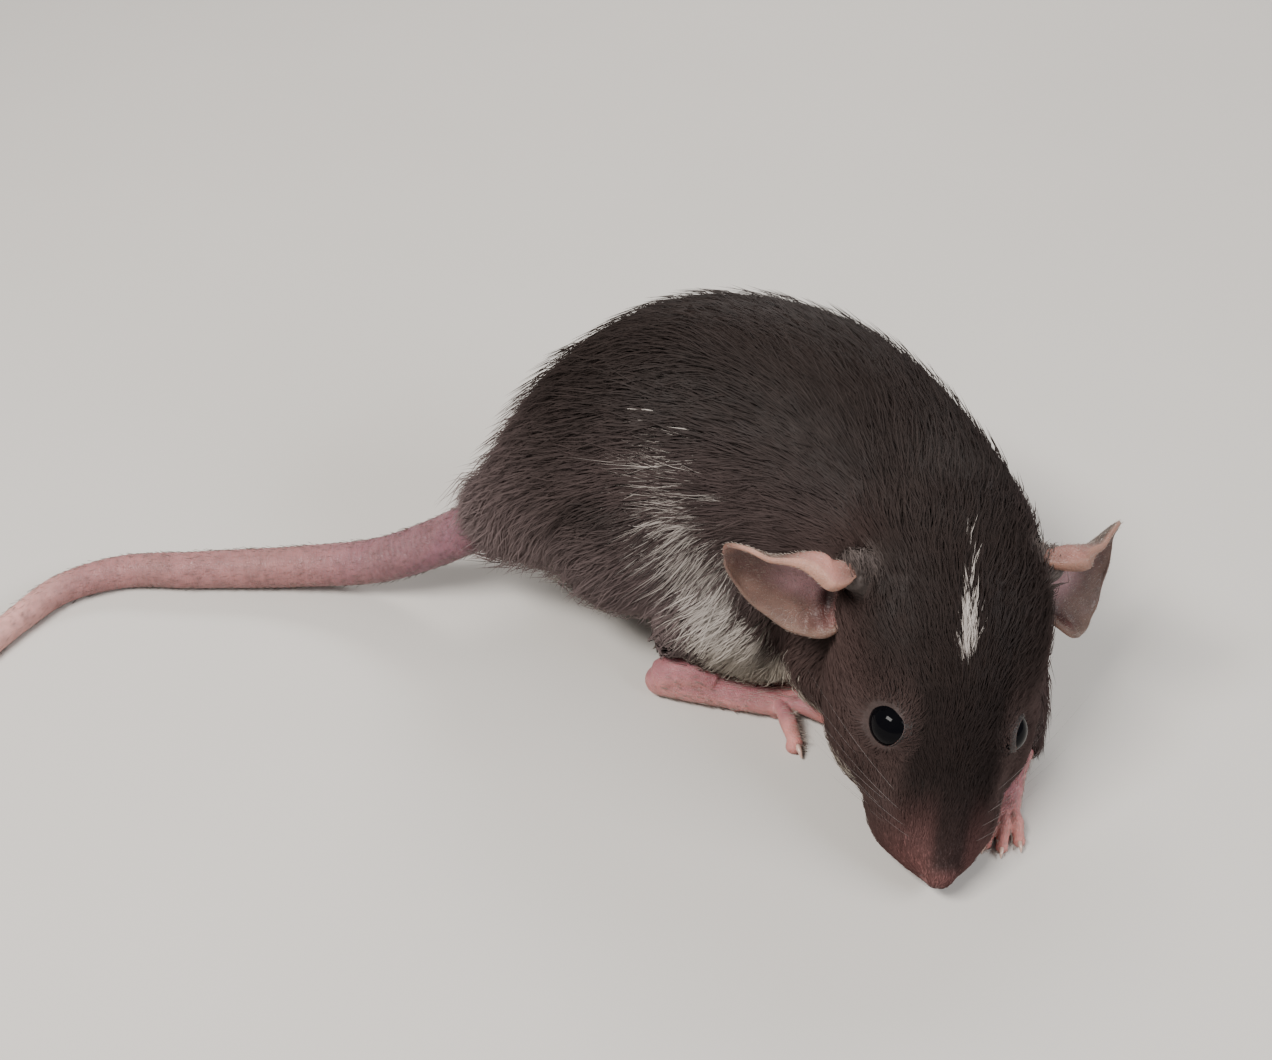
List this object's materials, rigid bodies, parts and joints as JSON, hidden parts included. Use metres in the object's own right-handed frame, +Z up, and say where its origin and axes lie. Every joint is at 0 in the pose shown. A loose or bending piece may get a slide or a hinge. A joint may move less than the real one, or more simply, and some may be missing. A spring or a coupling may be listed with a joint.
{
  "type": "young dumbo rat model",
  "caption": "Still life-size model of a young dark-coated rat with wide low-set round ears, hunched on all feet with its head turned and nose down.",
  "frame": {"origin": "middle of the whole box, on the floor that the feet and tail rest on", "axes": "+X from the tail towards the head, +Y towards the rat's left flank, +Z up"},
  "size_m": [0.1712, 0.0814, 0.0477],
  "materials": {
    "coat": "short dense charcoal-brown fur with a white blaze and a white flank patch",
    "skin": "bare pink skin, ringed with small scales on the tail",
    "eye": "wet glossy black"
  },
  "bodies": {
    "root": {"head": "coat", "neck": "coat", "torso": "coat", "leg_fore_right": "coat", "leg_fore_left": "coat", "leg_hind_right": "coat", "leg_hind_left": "coat", "ear_right": "skin", "ear_left": "skin", "paw_fore_right": "skin", "paw_fore_left": "skin", "foot_hind_right": "skin", "foot_hind_left": "skin", "tail_1": "skin", "tail_2": "skin", "tail_3": "skin", "tail_4": "skin", "eye_right": "eye", "eye_left": "eye"}
  },
  "joints": []
}
